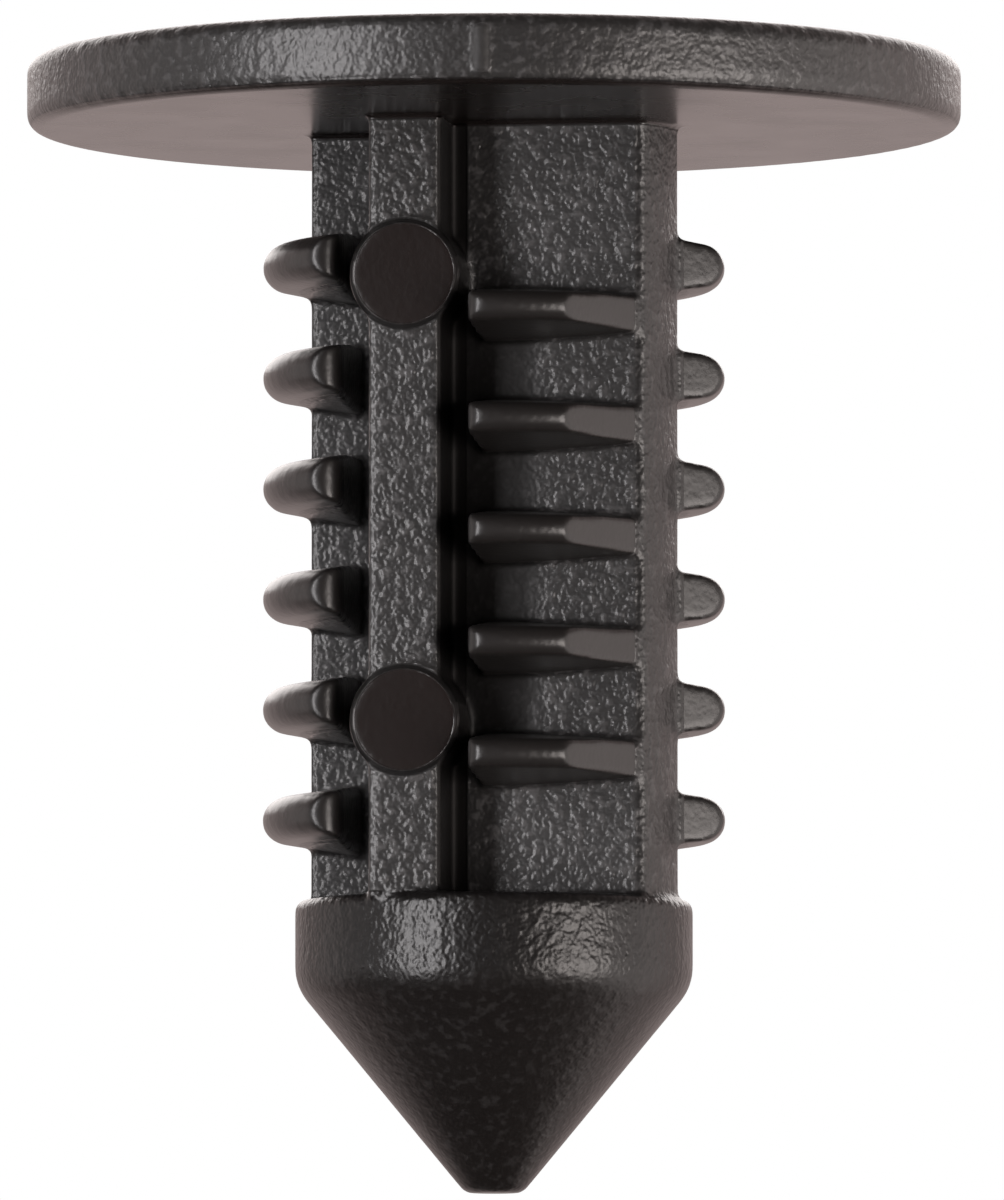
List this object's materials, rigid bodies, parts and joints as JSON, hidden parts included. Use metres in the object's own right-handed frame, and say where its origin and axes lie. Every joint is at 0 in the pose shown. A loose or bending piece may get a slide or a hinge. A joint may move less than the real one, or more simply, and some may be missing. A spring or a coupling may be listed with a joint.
{
  "type": "push-in fir-tree clip",
  "caption": "Push-in fastener with a flat round head, a stem with staggered bending fins, a guiding collar and a pointed nose, pressed into a panel hole to hold wiring or trim.",
  "frame": {"origin": "centre of the head's underside, on the stem's axis, where the panel's surface lies when the clip is in", "axes": "+Z along the stem's axis from the tip to the head, -Y to the front with the ejector pads, +X to the right seen from the front"},
  "size_m": [0.018, 0.018, 0.0219],
  "materials": {
    "nylon": "black nylon with a fine spark-eroded texture"
  },
  "bodies": {
    "root": {"clip": "nylon"}
  },
  "joints": []
}
